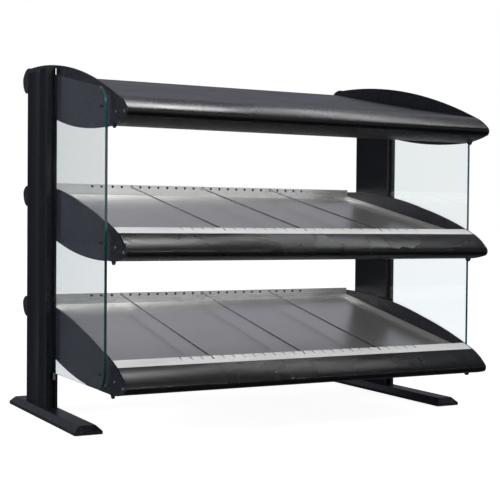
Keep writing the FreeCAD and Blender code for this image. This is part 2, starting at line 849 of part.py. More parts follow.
def knob_hole(x, y, z):
    return rod(s.spindle_radius + s.spindle_gap, 4 * s.sheet_wall, "y", x, y - 2 * s.sheet_wall, z)


def switch_hole(x, y, z):
    return block(s.switch_width, 4 * s.sheet_wall, s.switch_height, x, y, z - s.switch_height / 2)


def round_hole(radius, x, y, z):
    return rod(radius, 4 * s.sheet_wall, "y", x, y - 2 * s.sheet_wall, z)


shelf_panel_y = inwards(s.rear_panel_in)
hood_panel_y = inwards(s.hood_panel_in)
CONTROLS = (
    ("lower", shelf_panel_y, s.lower_slot_height + s.control_up),
    ("upper", shelf_panel_y, upper_slot_height + s.control_up),
    ("hood", hood_panel_y, s.hood_tip_height + s.hood_control_up),
)


def rear_panel(level, y, z):
    """The operator's side of a shelf or the hood, with openings for its controls."""
    if level == "hood":
        foot = s.hood_rear_low_up
        head = s.hood_top_rear_up - s.sheet_wall - s.fit_gap
        height = s.hood_tip_height
        start = (y - s.hem, foot)
        path = [(y, foot), (y, head)]
    else:
        foot = s.shelf_rear_low_up + s.panel_overlap
        head = s.shelf_rear_top_up - s.panel_overlap
        height = z - s.control_up
        start = (y, foot)
        path = [(y, head), (inwards(s.fence_in) + 2 * s.sheet_wall, fence_top_up - s.fit_gap)]
    sheet_part = bent_sheet(start, path, s.sheet_wall, inner_length, z=height)
    holes = [knob_hole(s.knob_side, y, z), switch_hole(s.switch_side, y, z),
             round_hole(s.light_radius, s.light_side, y, z)]
    if level == "lower":
        holes.append(round_hole(s.inlet_bore, -s.inlet_side, y, z))
    return cut(sheet_part, *holes)


thermostats = []
housings = []
lights = []
for level, y, z in CONTROLS:
    node(rear_panel(level, y, z), f"{level}_rear_panel")
    knob_y = y + s.knob_clearance
    bore = rod(s.spindle_radius, s.knob_length - 2 * s.knob_clearance, "y", s.knob_side, knob_y, z)
    node(cut(rod(s.knob_radius, s.knob_length, "y", s.knob_side, knob_y, z), bore), f"{level}_knob")
    spindle_start = y - s.spindle_reach + s.knob_length - s.knob_clearance
    node(rod(s.spindle_radius, s.spindle_reach, "y", s.knob_side, spindle_start, z), f"{level}_spindle")
    case_front = y - s.sheet_wall - s.thermostat_length / 2
    case = block(s.thermostat_side, s.thermostat_length, s.thermostat_side,
                 s.knob_side, case_front, z - s.thermostat_side / 2)
    thermostats.append(cut(case, rod(s.spindle_radius + s.spindle_gap, s.thermostat_length, "y",
                                     s.knob_side, spindle_start - s.spindle_gap, z)))
    rim = block(s.switch_width + 2 * s.switch_rim, s.switch_rim, s.switch_height + 2 * s.switch_rim,
                s.switch_side, y + s.switch_rim / 2, z - s.switch_height / 2 - s.switch_rim)
    shell = block(s.switch_width - s.rocker_gap, s.switch_depth, s.switch_height - s.rocker_gap,
                  s.switch_side, y - s.switch_depth / 2, z - s.switch_height / 2 + s.rocker_gap / 2)
    well = block(s.switch_width - 2 * s.switch_rim, s.switch_depth, s.switch_height - 2 * s.rocker_gap,
                 s.switch_side, y - s.switch_depth / 2 + 2 * s.switch_rim + WELL_OVERCUT,
                 z - s.switch_height / 2 + s.rocker_gap)
    housings.append(cut(fuse(rim, shell), well))
    section = outline("yz", (-2 * s.rocker_gap, -s.rocker_radius), [
        (s.rocker_crown, -s.rocker_radius),
        ((s.rocker_crown / 2, 0), (s.rocker_crown, s.rocker_radius)),
        (-2 * s.rocker_gap, s.rocker_radius),
        (-s.rocker_radius, 0),
    ])
    rocker = extrude(section, s.switch_width - 2 * s.switch_rim - 2 * s.rocker_gap, "x", centred=True)
    tilt = FreeCAD.Rotation(Vector(1, 0, 0), ROCKER_REST)
    node(place(rocker, s.switch_side, y, z, tilt), f"{level}_rocker")
    lights.append(fuse(rod(s.light_radius, 3 * s.light_radius, "y", s.light_side, y - 2 * s.light_radius, z),
                       rod(s.light_radius + s.switch_rim, s.switch_rim, "y", s.light_side, y, z)))
node(group(*thermostats), "thermostats")
node(group(*housings), "switch_housings")
node(group(*lights), "indicator_lights")
inlet_z = s.lower_slot_height + s.control_up
node(cut(rod(s.inlet_radius, s.inlet_length, "y", -s.inlet_side, shelf_panel_y, inlet_z),
         rod(s.inlet_bore, s.inlet_length, "y", -s.inlet_side, shelf_panel_y, inlet_z)), "power_inlet")


# ---------------------------------------------------------------- divider rods

def divider(index, height):
    """A straight rod from a slot in the front lip through a hole in the rear fence, with a stop collar."""
    x = (index - SLOT_MIDDLE) * s.slot_pitch
    fence_y = inwards(s.fence_in)
    slope = (fence_hole_up - s.rod_seat_up) / (fence_y - back(s.crest_back))
    stretch = Size((1 + slope.value ** 2) ** 0.5, f"sqrt(1 + {slope.text}^2)")

    def piece(radius, start_y, end_y):
        item = doc.addObject("Part::Cylinder", "rod")
        bind(item, "Radius", radius)
        bind(item, "Height", (end_y - start_y) * stretch)
        place(item, x, start_y, height + fence_hole_up + (start_y - fence_y) * slope,
              FreeCAD.Rotation(Vector(-1, 0, 0), 90))
        item.setExpression("Placement.Rotation.Angle", f"90 deg - atan({slope.text})")
        return item

    bar = piece(s.rod_radius, back(s.crest_back) - s.rod_nose, fence_y + s.rod_overhang)
    collar_start = fence_y - 2 * s.sheet_wall - s.collar_width
    collar = piece(s.collar_radius, collar_start, collar_start + s.collar_width)
    return fuse(bar, collar)


for level, height, rods in (
    ("lower", s.lower_slot_height, LOWER_RODS),
    ("upper", upper_slot_height, UPPER_RODS),
):
    for name, index in zip(("left", "middle", "right"), rods):
        node(divider(index, height), f"{level}_{name}_divider")


# ---------------------------------------------------------------- checks and files

doc.recompute()
faults = [f"{item.Label}: {item.State}" for item in doc.Objects
          if "Invalid" in item.State or "Error" in item.State]
for item in nodes:
    if item.Shape.isNull() or not item.Shape.isValid() or not item.Shape.Solids:
        faults.append(f"{item.Label}: no valid solid")
if faults:
    raise SystemExit("\n".join(faults))

os.makedirs("parts", exist_ok=True)
for item in nodes:
    item.Shape.exportStep(f"parts/{item.Label}.step")
print(len(nodes), "nodes,", round(sum(item.Shape.Volume for item in nodes)), "cubic millimetres")
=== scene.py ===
import json
import math

import bmesh
import bpy
from mathutils import Matrix, Vector


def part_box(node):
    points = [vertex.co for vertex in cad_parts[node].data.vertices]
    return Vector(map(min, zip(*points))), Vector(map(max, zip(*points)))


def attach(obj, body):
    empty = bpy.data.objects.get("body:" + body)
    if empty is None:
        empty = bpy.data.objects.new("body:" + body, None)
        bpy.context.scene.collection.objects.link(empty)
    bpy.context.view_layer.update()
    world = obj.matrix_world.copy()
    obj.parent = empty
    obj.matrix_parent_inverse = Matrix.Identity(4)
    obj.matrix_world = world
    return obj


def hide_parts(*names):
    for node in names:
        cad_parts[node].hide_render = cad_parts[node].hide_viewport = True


# A heated display case for boxed hot food: a hood and two slanted shelves between fluted columns.
# Metres, +Z up, the customers' side towards -Y.

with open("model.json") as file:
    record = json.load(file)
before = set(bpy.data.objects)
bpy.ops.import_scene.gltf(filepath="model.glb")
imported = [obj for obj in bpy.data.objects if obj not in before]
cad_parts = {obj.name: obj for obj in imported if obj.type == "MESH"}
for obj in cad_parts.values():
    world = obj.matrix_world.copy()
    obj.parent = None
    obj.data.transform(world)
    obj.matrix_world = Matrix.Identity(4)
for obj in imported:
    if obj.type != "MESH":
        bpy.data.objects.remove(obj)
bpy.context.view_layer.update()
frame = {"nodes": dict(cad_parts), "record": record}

MM = 0.001
ROOT = "case"
LEVELS = ("lower", "upper", "hood")
SHELVES = ("lower", "upper")
SIDES = ("left", "right")
ROD_PLACES = ("left", "middle", "right")


# ---------------------------------------------------------------- node trees

def link(tree, source, target):
    tree.links.new(source, target)


def new_node(tree, kind, **values):
    """A node with some of its inputs and settings filled in; sockets go by name, settings by attribute."""
    made = tree.nodes.new(kind)
    for key, value in values.items():
        name = key.replace("_", " ")
        if hasattr(made, key) and name not in made.inputs:
            setattr(made, key, value)
        elif isinstance(value, bpy.types.NodeSocket):
            link(tree, value, made.inputs[name])
        else:
            made.inputs[name].default_value = value
    return made


def arithmetic(tree, operation, first, second=0.0, clamp=False):
    made = tree.nodes.new("ShaderNodeMath")
    made.operation = operation
    made.use_clamp = clamp
    for socket, value in zip(made.inputs, (first, second)):
        if isinstance(value, bpy.types.NodeSocket):
            link(tree, value, socket)
        else:
            socket.default_value = value
    return made.outputs[0]


def blend_colours(tree, factor, first, second):
    made = tree.nodes.new("ShaderNodeMix")
    made.data_type = "RGBA"
    for socket, value in ((made.inputs[0], factor), (made.inputs[6], first), (made.inputs[7], second)):
        if isinstance(value, bpy.types.NodeSocket):
            link(tree, value, socket)
        else:
            socket.default_value = value
    return made.outputs[2]


def remap(tree, value, from_low, from_high, to_low, to_high):
    made = tree.nodes.new("ShaderNodeMapRange")
    for socket, number in zip(list(made.inputs)[:5], (value, from_low, from_high, to_low, to_high)):
        if isinstance(number, bpy.types.NodeSocket):
            link(tree, number, socket)
        else:
            socket.default_value = number
    return made.outputs[0]


def noise(tree, vector, scale, detail=2.0, roughness=0.5):
    made = new_node(tree, "ShaderNodeTexNoise", Detail=detail, Roughness=roughness, Vector=vector)
    if isinstance(scale, bpy.types.NodeSocket):
        link(tree, scale, made.inputs["Scale"])
    else:
        made.inputs["Scale"].default_value = scale
    return made.outputs["Fac"]


def effect(name, inputs, outputs):
    """An empty shader node group with number inputs and the outputs named."""
    tree = bpy.data.node_groups.new(name, "ShaderNodeTree")
    for label, default in inputs.items():
        socket = tree.interface.new_socket(name=label, in_out="INPUT", socket_type="NodeSocketFloat")
        socket.default_value = default
    for label in outputs:
        tree.interface.new_socket(name=label, in_out="OUTPUT", socket_type="NodeSocketFloat")
    start = tree.nodes.new("NodeGroupInput")
    end = tree.nodes.new("NodeGroupOutput")
    place = tree.nodes.new("ShaderNodeTexCoord").outputs["Object"]
    return tree, start.outputs, end.inputs, place


def make_powder_grain():
    """Orange-peel lumps and fine specks of a sprayed powder coat."""
    tree, given, out, place = effect("powder_grain", {"Scale": 700.0}, ("Height", "Specks", "Clouds"))
    fine = noise(tree, place, given["Scale"], 3.0, 0.6)
    lumps = noise(tree, place, arithmetic(tree, "MULTIPLY", given["Scale"], 0.37), 1.0)
    height = arithmetic(tree, "ADD", arithmetic(tree, "MULTIPLY", fine, 0.6),
                        arithmetic(tree, "MULTIPLY", lumps, 0.8))
    link(tree, height, out["Height"])
    link(tree, remap(tree, fine, 0.52, 0.72, 0.0, 1.0), out["Specks"])
    link(tree, noise(tree, place, 9.0, 3.0), out["Clouds"])
    return tree


def make_edge_rub():
    """Where handling has rubbed an edge: the turn of the surface within a small radius, broken by noise."""
    tree, given, out, place = effect("edge_rub", {"Width": 0.0015, "Amount": 0.5}, ("Mask",))
    rounded = tree.nodes.new("ShaderNodeBevel")
    rounded.samples = 4
    link(tree, given["Width"], rounded.inputs["Radius"])
    true_normal = tree.nodes.new("ShaderNodeNewGeometry").outputs["Normal"]
    alike = tree.nodes.new("ShaderNodeVectorMath")
    alike.operation = "DOT_PRODUCT"
    link(tree, rounded.outputs["Normal"], alike.inputs[0])
    link(tree, true_normal, alike.inputs[1])
    edge = remap(tree, alike.outputs["Value"], 0.97, 0.80, 0.0, 1.0)
    broken = remap(tree, noise(tree, place, 60.0, 4.0, 0.7), 0.42, 0.62, 0.0, 1.0)
    worn = arithmetic(tree, "MULTIPLY", arithmetic(tree, "MULTIPLY", edge, broken), given["Amount"], True)
    link(tree, worn, out["Mask"])
    return tree


def make_settled_dust():
    """A light film on faces that look up, thicker in patches."""
    tree, given, out, place = effect("settled_dust", {"Amount": 0.1}, ("Mask",))
    upward = new_node(tree, "ShaderNodeSeparateXYZ",
                      Vector=tree.nodes.new("ShaderNodeNewGeometry").outputs["Normal"]).outputs["Z"]
    facing = remap(tree, upward, 0.5, 1.0, 0.0, 1.0)
    patches = remap(tree, noise(tree, place, 14.0, 5.0, 0.65), 0.35, 0.7, 0.2, 1.0)
    link(tree, arithmetic(tree, "MULTIPLY", arithmetic(tree, "MULTIPLY", facing, patches),
                          given["Amount"], True), out["Mask"])
    return tree


def make_brushing():
    """Long fine scratches along X, with a slow change of tone from scratch to scratch."""
    tree, given, out, place = effect("brushing", {"Fineness": 900.0}, ("Height", "Tone", "Smears"))
    stretched = tree.nodes.new("ShaderNodeMapping")
    stretched.inputs["Scale"].default_value = (0.012, 1.0, 1.0)
    link(tree, place, stretched.inputs["Vector"])
    fine = noise(tree, stretched.outputs["Vector"], given["Fineness"], 3.0, 0.6)
    broad_scale = arithmetic(tree, "MULTIPLY", given["Fineness"], 0.12)
    broad = noise(tree, stretched.outputs["Vector"], broad_scale, 2.0)
    link(tree, fine, out["Height"])
    link(tree, arithmetic(tree, "ADD", arithmetic(tree, "MULTIPLY", fine, 0.5),
                          arithmetic(tree, "MULTIPLY", broad, 0.5)), out["Tone"])
    link(tree, noise(tree, place, 7.0, 4.0, 0.6), out["Smears"])
    return tree


EFFECTS = {"powder_grain": make_powder_grain(), "edge_rub": make_edge_rub(),
           "settled_dust": make_settled_dust(), "brushing": make_brushing()}


def place_effect(tree, name, **values):
    made = tree.nodes.new("ShaderNodeGroup")
    made.node_tree = EFFECTS[name]
    for key, value in values.items():
        made.inputs[key].default_value = value
    return made.outputs


# ---------------------------------------------------------------- finishes

def blank_material(name, **constants):
    """A material with one Principled shader, whose constants are set on its own sockets."""
    material = bpy.data.materials.new(name)
    material.use_nodes = True
    tree = material.node_tree
    tree.nodes.clear()
    shader = tree.nodes.new("ShaderNodeBsdfPrincipled")
    for key, value in constants.items():
        shader.inputs[key.replace("_", " ")].default_value = value
    output = tree.nodes.new("ShaderNodeOutputMaterial")
    link(tree, shader.outputs[0], output.inputs["Surface"])
    return material, tree, shader


def raise_surface(tree, shader, height, depth):
    bump = new_node(tree, "ShaderNodeBump", Strength=1.0, Distance=depth, Height=height)
    link(tree, bump.outputs["Normal"], shader.inputs["Normal"])


def rgb(*values):
    return (*values, 1.0)


def powder_coat(name, colour, speck, roughness, scale, depth, rub=0.4, dust=0.06, **constants):
    material, tree, shader = blank_material(name, **constants)
    grain = place_effect(tree, "powder_grain", Scale=scale)
    edge = place_effect(tree, "edge_rub", Amount=rub)["Mask"]
    film = place_effect(tree, "settled_dust", Amount=dust)["Mask"]
    base = blend_colours(tree, remap(tree, grain["Clouds"], 0.3, 0.7, 0.0, 1.0),
                         rgb(*[c * 0.86 for c in colour]), rgb(*[c * 1.12 for c in colour]))
    base = blend_colours(tree, grain["Specks"], base, rgb(*speck))
    base = blend_colours(tree, edge, base, rgb(0.10, 0.105, 0.115))
    base = blend_colours(tree, film, base, rgb(0.32, 0.31, 0.29))
    link(tree, base, shader.inputs["Base Color"])
    rough = remap(tree, grain["Clouds"], 0.25, 0.75, roughness - 0.04, roughness + 0.05)
    rough = arithmetic(tree, "ADD", rough, arithmetic(tree, "MULTIPLY", film, 0.5), True)
    link(tree, rough, shader.inputs["Roughness"])
    raise_surface(tree, shader, grain["Height"], depth)
    return material


def brushed_metal(name, dark, light, roughness, fineness, depth, spread=0.06, **constants):
    material, tree, shader = blank_material(name, **{"Metallic": 1.0, **constants})
    lines = place_effect(tree, "brushing", Fineness=fineness)
    link(tree, blend_colours(tree, remap(tree, lines["Tone"], 0.3, 0.7, 0.0, 1.0), rgb(*dark), rgb(*light)),
         shader.inputs["Base Color"])
    rough = remap(tree, lines["Tone"], 0.3, 0.7, roughness - spread, roughness + spread)
    smeared = remap(tree, lines["Smears"], 0.45, 0.75, 0.0, spread * 2)
    rough = arithmetic(tree, "ADD", rough, smeared, True)
    link(tree, rough, shader.inputs["Roughness"])
    raise_surface(tree, shader, lines["Height"], depth)
    return material


def moulded(name, colour, roughness, scale=420.0, depth=0.00004, **constants):
    """Moulded plastic, rubber, felt or ceramic: mottled colour, uneven gloss and a fine grain."""
    material, tree, shader = blank_material(name, **constants)
    grain = place_effect(tree, "powder_grain", Scale=scale)
    film = place_effect(tree, "settled_dust", Amount=0.08)["Mask"]
    base = blend_colours(tree, grain["Clouds"], rgb(*[c * 0.8 for c in colour]),
                         rgb(*[min(c * 1.2, 1) for c in colour]))
    link(tree, blend_colours(tree, film, base, rgb(0.35, 0.33, 0.30)), shader.inputs["Base Color"])
    link(tree, remap(tree, grain["Clouds"], 0.2, 0.8, roughness - 0.08, roughness + 0.08),
         shader.inputs["Roughness"])
    raise_surface(tree, shader, grain["Height"], depth)
    return material


def clear_glass(name, tint, deep_tint, roughness):
    """Glass that lets the lamps through, slightly smeared."""
    material, tree, shader = blank_material(name, Transmission_Weight=1.0, IOR=1.47, Metallic=0.0,
                                            Specular_IOR_Level=0.2)
    place = tree.nodes.new("ShaderNodeTexCoord").outputs["Object"]
    patches = noise(tree, place, 5.0, 3.0)
    link(tree, blend_colours(tree, patches, rgb(*tint), rgb(*deep_tint)), shader.inputs["Base Color"])
    link(tree, remap(tree, noise(tree, place, 18.0, 4.0, 0.6), 0.5, 0.8, roughness, roughness + 0.03),
         shader.inputs["Roughness"])
    clear = new_node(tree, "ShaderNodeBsdfTransparent", Color=rgb(*deep_tint))
    mixed = tree.nodes.new("ShaderNodeMixShader")
    link(tree, tree.nodes.new("ShaderNodeLightPath").outputs["Is Shadow Ray"], mixed.inputs[0])
    link(tree, shader.outputs[0], mixed.inputs[1])
    link(tree, clear.outputs[0], mixed.inputs[2])
    output = next(n for n in tree.nodes if n.type == "OUTPUT_MATERIAL")
    link(tree, mixed.outputs[0], output.inputs["Surface"])
    return material


FINISH = {
    "plate_coat": powder_coat("plate_coat", (0.012, 0.014, 0.021), (0.11, 0.115, 0.14), 0.32, 300.0,
                              0.00060, dust=0.02),
    "column_coat": powder_coat("column_coat", (0.009, 0.011, 0.016), (0.03, 0.034, 0.042), 0.24, 400.0,
                               0.00020, dust=0.02),
    "rail_coat": powder_coat("rail_coat", (0.004, 0.0045, 0.006), (0.014, 0.015, 0.018), 0.27, 420.0,
                             0.00001, rub=0.15, dust=0.01, Specular_IOR_Level=0.3),
    "panel_coat": powder_coat("panel_coat", (0.009, 0.010, 0.013), (0.02, 0.02, 0.023), 0.32, 520.0,
                              0.00003, rub=0.3, dust=0.01),
    "tray_steel": brushed_metal("tray_steel", (0.60, 0.585, 0.57), (0.68, 0.665, 0.65), 0.30, 1000.0,
                                0.000006, 0.02, Metallic=0.9),
    # The next two are lighter copies of the tray steel: painted highlight on the tray's front lip, painted
    # reflection on its rear fence.
    "lip_steel_painted_highlight": brushed_metal("lip_steel_painted_highlight", (0.84, 0.84, 0.83), (0.92, 0.92, 0.91), 0.50, 1000.0,
                               0.000006, 0.04, Metallic=0.55),
    "fence_steel_painted_reflection": brushed_metal("fence_steel_painted_reflection", (0.80, 0.80, 0.79), (0.92, 0.92, 0.91), 0.28, 1000.0,
                                 0.000006, 0.04, Metallic=0.9),
    "drawn_rod": brushed_metal("drawn_rod", (0.55, 0.55, 0.55), (0.75, 0.75, 0.75), 0.18, 600.0,
                               0.00001),
    "zinc": brushed_metal("zinc", (0.45, 0.45, 0.44), (0.62, 0.62, 0.60), 0.35, 500.0, 0.00002),
    "black_zinc": powder_coat("black_zinc", (0.02, 0.022, 0.026), (0.05, 0.05, 0.055), 0.38, 900.0,
                              0.00004, rub=0.8),
    "chrome": brushed_metal("chrome", (0.80, 0.80, 0.81), (0.90, 0.90, 0.91), 0.08, 400.0, 0.00001,
                            0.03),
    "rubber": moulded("rubber", (0.012, 0.012, 0.012), 0.75, 500.0, 0.00006),
    "knob_plastic": moulded("knob_plastic", (0.014, 0.014, 0.015), 0.42),
    "switch_plastic": moulded("switch_plastic", (0.012, 0.012, 0.013), 0.22, 300.0, 0.00001),
    "rocker_plastic": moulded("rocker_plastic", (0.42, 0.015, 0.01), 0.2, 300.0, 0.00001,
                              Coat_Weight=0.4),
    "lens": moulded("lens", (0.75, 0.22, 0.02), 0.12, 250.0, 0.00001, Coat_Weight=0.6),
    "element_steel": brushed_metal("element_steel", (0.16, 0.14, 0.13), (0.30, 0.27, 0.24), 0.42, 700.0,
                                   0.00003),
    "ceramic": moulded("ceramic", (0.78, 0.75, 0.68), 0.6, 350.0, 0.00005),
    "silicone": moulded("silicone", (0.42, 0.08, 0.03), 0.55, 260.0, 0.00008),
    "wool": moulded("wool", (0.66, 0.60, 0.42), 0.95, 160.0, 0.0006, Sheen_Weight=0.4),
    "marking": moulded("marking", (0.75, 0.75, 0.72), 0.4, 300.0, 0.00001),
    "pane": clear_glass("pane", (0.905, 0.945, 0.955), (0.89, 0.935, 0.95), 0.0),
    "lamp_glass": clear_glass("lamp_glass", (0.96, 0.94, 0.86), (0.93, 0.90, 0.80), 0.05),
}


def cut_glass_edge():
    """The polished edge of a pane, where the light has come through the width of the glass."""
    material, tree, shader = blank_material("pane_edge", Metallic=0.0, Coat_Weight=1.0, Coat_Roughness=0.05)
    place = tree.nodes.new("ShaderNodeTexCoord").outputs["Object"]
    slow = noise(tree, place, 3.5, 2.0)
    quick = noise(tree, place, 45.0, 3.0)
    base = blend_colours(tree, remap(tree, slow, 0.35, 0.65, 0.0, 1.0), rgb(0.004, 0.055, 0.06),
                         rgb(0.03, 0.16, 0.16))
    link(tree, base, shader.inputs["Base Color"])
    link(tree, remap(tree, quick, 0.3, 0.7, 0.06, 0.16), shader.inputs["Roughness"])
    return material


FINISH["pane_edge"] = cut_glass_edge()

NODE_FINISH = {
    "left_foot": "plate_coat", "right_foot": "plate_coat",
    "left_column": "column_coat", "right_column": "column_coat",
    "foot_pads": "rubber", "foot_bolts": "zinc", "channel_strips": "rubber", "glass_clips": "chrome",
    "glass_bumpers": "rubber", "glass_top_pins": "chrome", "end_plate_screws": "zinc",
    "column_screws": "black_zinc", "hood_top_panel": "panel_coat", "hood_pan": "panel_coat",
    "upper_bay_element": "element_steel", "lower_bay_element": "element_steel", "element_brackets": "zinc",
    "display_lamps": "lamp_glass", "lamp_sockets": "ceramic", "thermostats": "ceramic",
    "switch_housings": "switch_plastic", "indicator_lights": "lens", "power_inlet": "switch_plastic",
    "left_side_glass": "pane", "right_side_glass": "pane",
}
for level in LEVELS:
    NODE_FINISH.update({f"{level}_nose": "rail_coat", f"{level}_rear_panel": "panel_coat",
                        f"{level}_knob": "knob_plastic", f"{level}_spindle": "zinc",
                        f"{level}_rocker": "rocker_plastic"})
    for name in SIDES:
        NODE_FINISH[f"{level}_{name}_end"] = "plate_coat"
for level in SHELVES:
    NODE_FINISH.update({f"{level}_tray": "tray_steel", f"{level}_pan": "panel_coat",
                        f"{level}_blanket_heater": "silicone", f"{level}_insulation": "wool"})
    for name in ROD_PLACES:
        NODE_FINISH[f"{level}_{name}_divider"] = "drawn_rod"

for name, item in frame["nodes"].items():
    item.data.materials.clear()
    item.data.materials.append(FINISH[NODE_FINISH[name]])

BODY_OF = {node: body for body, nodes in frame["record"]["behaviour"]["bodies"].items() for node in nodes}


# ---------------------------------------------------------------- making pieces

MERGE_DISTANCE = 1e-6
FLAT_WITHIN = math.radians(0.6)
ROUNDED_FROM = math.radians(28)


def finish_piece(bm, name, finish, stands_for, smooth=35.0, edge=0.0, edge_steps=2, outward=True,
                 body=None):
    """Turns a bmesh into a shown piece that rides where the CAD nodes it stands for ride."""
    if outward:
        bmesh.ops.recalc_face_normals(bm, faces=bm.faces)
    mesh = bpy.data.meshes.new(name)
    bm.to_mesh(mesh)
    bm.free()
    piece = bpy.data.objects.new(name, mesh)
    bpy.context.scene.collection.objects.link(piece)
    for entry in finish if isinstance(finish, tuple) else (finish,):
        mesh.materials.append(FINISH[entry])
    mesh.shade_smooth()
    mesh.set_sharp_from_angle(angle=math.radians(smooth))
    if edge:
        rounding = piece.modifiers.new("rounded_edges", "BEVEL")
        rounding.width = edge
        rounding.segments = edge_steps
        rounding.limit_method = "ANGLE"
        rounding.angle_limit = ROUNDED_FROM
        rounding.harden_normals = True
        rounding.use_clamp_overlap = True
    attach(piece, body or BODY_OF[stands_for[0]])
    if stands_for:
        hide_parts(*stands_for)
    return piece


def merged_copy(node):
    """A CAD node's shape, its loose triangles merged into whole faces."""
    bm = bmesh.new()
    bm.from_mesh(frame["nodes"][node].data)
    bmesh.ops.remove_doubles(bm, verts=bm.verts, dist=MERGE_DISTANCE)
    bmesh.ops.dissolve_limit(bm, angle_limit=FLAT_WITHIN, verts=bm.verts, edges=bm.edges)
    return bm


def softened(node, edge, steps=2):
    """A CAD node's shape with its hard edges rounded."""
    return finish_piece(merged_copy(node), f"{node}_shell", NODE_FINISH[node], (node,), edge=edge,
                        edge_steps=steps, outward=False)


# ---------------------------------------------------------------- end plates, feet and columns

for level in LEVELS:
    for name in SIDES:
        softened(f"{level}_{name}_end", 0.6 * MM)
for name in SIDES:
    softened(f"{name}_foot", 0.9 * MM, steps=3)
    softened(f"{name}_column", 0.5 * MM)


# ---------------------------------------------------------------- front rails

def turn(bm, vertex, via, end, steps):
    """Carries an outline round the arc that passes through via to end, in a plane across X."""
    start = Vector((0, vertex.co.y, vertex.co.z))
    first, last = via - start, end - start
    double_area = 2 * (first.y * last.z - first.z * last.y)
    centre = start + Vector((0,
                             (last.z * first.length_squared - first.z * last.length_squared) / double_area,
                             (first.y * last.length_squared - last.y * first.length_squared) / double_area))
    spread = [math.atan2((point - centre).z, (point - centre).y) for point in (start, via, end)]
    full = 2 * math.pi
    angle = (spread[2] - spread[0]) % full
    if (spread[1] - spread[0]) % full > angle:
        angle -= full
    centre.x = vertex.co.x
    made = bmesh.ops.spin(bm, geom=[vertex], cent=centre, axis=(1, 0, 0), angle=angle, steps=steps,
                          use_merge=False)
    return next(item for item in made["geom_last"] if isinstance(item, bmesh.types.BMVert))


SHELF_NOSE = {"lip": (50.5, -10.0), "cheek": (22.0, -26.3), "tip_top": (3.4, -42.0), "tip": (0.0, -49.8),
              "tip_low": (9.0, -60.2), "chin": (45.0, -67.3), "keel": (93.5, -69.0)}
HOOD_NOSE = {"lip": (48.5, 37.0), "cheek": (19.5, 22.0), "tip_top": (2.6, 8.5), "tip": (0.0, 1.3),
             "tip_low": (7.6, -8.7), "chin": (45.0, -17.5), "keel": (83.5, -22.5)}
NOSE_WALL = 3.0 * MM
NOSE_SMOOTHING = 6
UPPER_ARC_STEPS = 14
TIP_ARC_STEPS = 16
LOWER_ARC_STEPS = 12
SHELF_GROOVES = (-46.5, -53.0)
HOOD_GROOVES = (-4.0,)
GROOVE_HALF_WIDTH = 0.6 * MM
GROOVE_DEPTH = 0.7 * MM


def cut_groove(bm, height):
    """Presses a fine groove into the front of an outline at one height."""
    for step in (-1, 0, 1):
        bmesh.ops.bisect_plane(bm, geom=bm.verts[:] + bm.edges[:], plane_no=(0, 0, 1),
                               plane_co=(0, 0, height + step * GROOVE_HALF_WIDTH))
    bottom = [v for v in bm.verts if abs(v.co.z - height) < 0.01 * GROOVE_DEPTH]
    bmesh.ops.translate(bm, vec=(0, GROOVE_DEPTH, 0), verts=bottom)


def make_nose(level, outline, grooves):
    """The rounded front rail: a bent wall of even thickness between the end plates."""
    node = f"{level}_nose"
    low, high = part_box(node)
    base = high.z - outline["lip"][1] * MM
    at = {key: Vector((0, low.y + y * MM, base + z * MM)) for key, (y, z) in outline.items()}
    bm = bmesh.new()
    start = bm.verts.new((low.x, at["lip"].y, at["lip"].z))
    mark = turn(bm, start, at["cheek"], at["tip_top"], UPPER_ARC_STEPS)
    mark = turn(bm, mark, at["tip"], at["tip_low"], TIP_ARC_STEPS)
    turn(bm, mark, at["chin"], at["keel"], LOWER_ARC_STEPS)
    between = [v for v in bm.verts if len(v.link_edges) == 2]
    for _ in range(NOSE_SMOOTHING):
        bmesh.ops.smooth_vert(bm, verts=between, factor=0.5, use_axis_y=True, use_axis_z=True)
    for groove in grooves:
        cut_groove(bm, base + groove * MM)
    made = bmesh.ops.extrude_edge_only(bm, edges=bm.edges[:])["geom"]
    far_end = [item for item in made if isinstance(item, bmesh.types.BMVert)]
    bmesh.ops.translate(bm, vec=(high.x - low.x, 0, 0), verts=far_end)
    bmesh.ops.recalc_face_normals(bm, faces=bm.faces)
    forward = sum((f.normal * f.calc_area() for f in bm.faces), Vector())
    if forward.y > 0:
        bmesh.ops.reverse_faces(bm, faces=bm.faces)
    bmesh.ops.solidify(bm, geom=bm.faces[:], thickness=NOSE_WALL)
    return finish_piece(bm, f"{level}_front_rail", "rail_coat", (node,), smooth=30)


make_nose("lower", SHELF_NOSE, SHELF_GROOVES)
make_nose("upper", SHELF_NOSE, SHELF_GROOVES)
make_nose("hood", HOOD_NOSE, HOOD_GROOVES)


# ---------------------------------------------------------------- sheet metal

for node in ("hood_top_panel", "hood_pan", "lower_pan", "upper_pan", "lower_rear_panel", "upper_rear_panel",
             "hood_rear_panel"):
    softened(node, 0.35 * MM)


LIP_DEPTH = 33.5 * MM
FENCE_DEPTH = 2.5 * MM


def make_tray(level):
    """The bent tray, its front lip a lighter, satin copy of the tray steel as painted highlight and its
    rear fence a lighter copy as painted reflection.
    """
    node = f"{level}_tray"
    low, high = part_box(node)
    finishes = ("tray_steel", "lip_steel_painted_highlight", "fence_steel_painted_reflection")
    piece = finish_piece(merged_copy(node), f"{level}_heated_tray", finishes, (node,), edge=0.25 * MM,
                         outward=False)
    # Lip faces take the lighter steel as painted highlight, fence faces the lighter steel as painted
    # reflection.
    for polygon in piece.data.polygons:
        if polygon.center.y < low.y + LIP_DEPTH:
            polygon.material_index = 1
        elif polygon.center.y > high.y - FENCE_DEPTH:
            polygon.material_index = 2


for level in SHELVES:
    make_tray(level)


# ---------------------------------------------------------------- glass

def make_pane(name):
    """A side pane, clear on its two faces and green where its edge is cut."""
    node = f"{name}_side_glass"
    piece = finish_piece(merged_copy(node), f"{name}_pane", ("pane", "pane_edge"), (node,), edge=0.5 * MM,
                         outward=False)
    for polygon in piece.data.polygons:
        polygon.material_index = 0 if abs(polygon.normal.x) > 0.9 else 1


for name in SIDES:
    make_pane(name)


# ---------------------------------------------------------------- controls

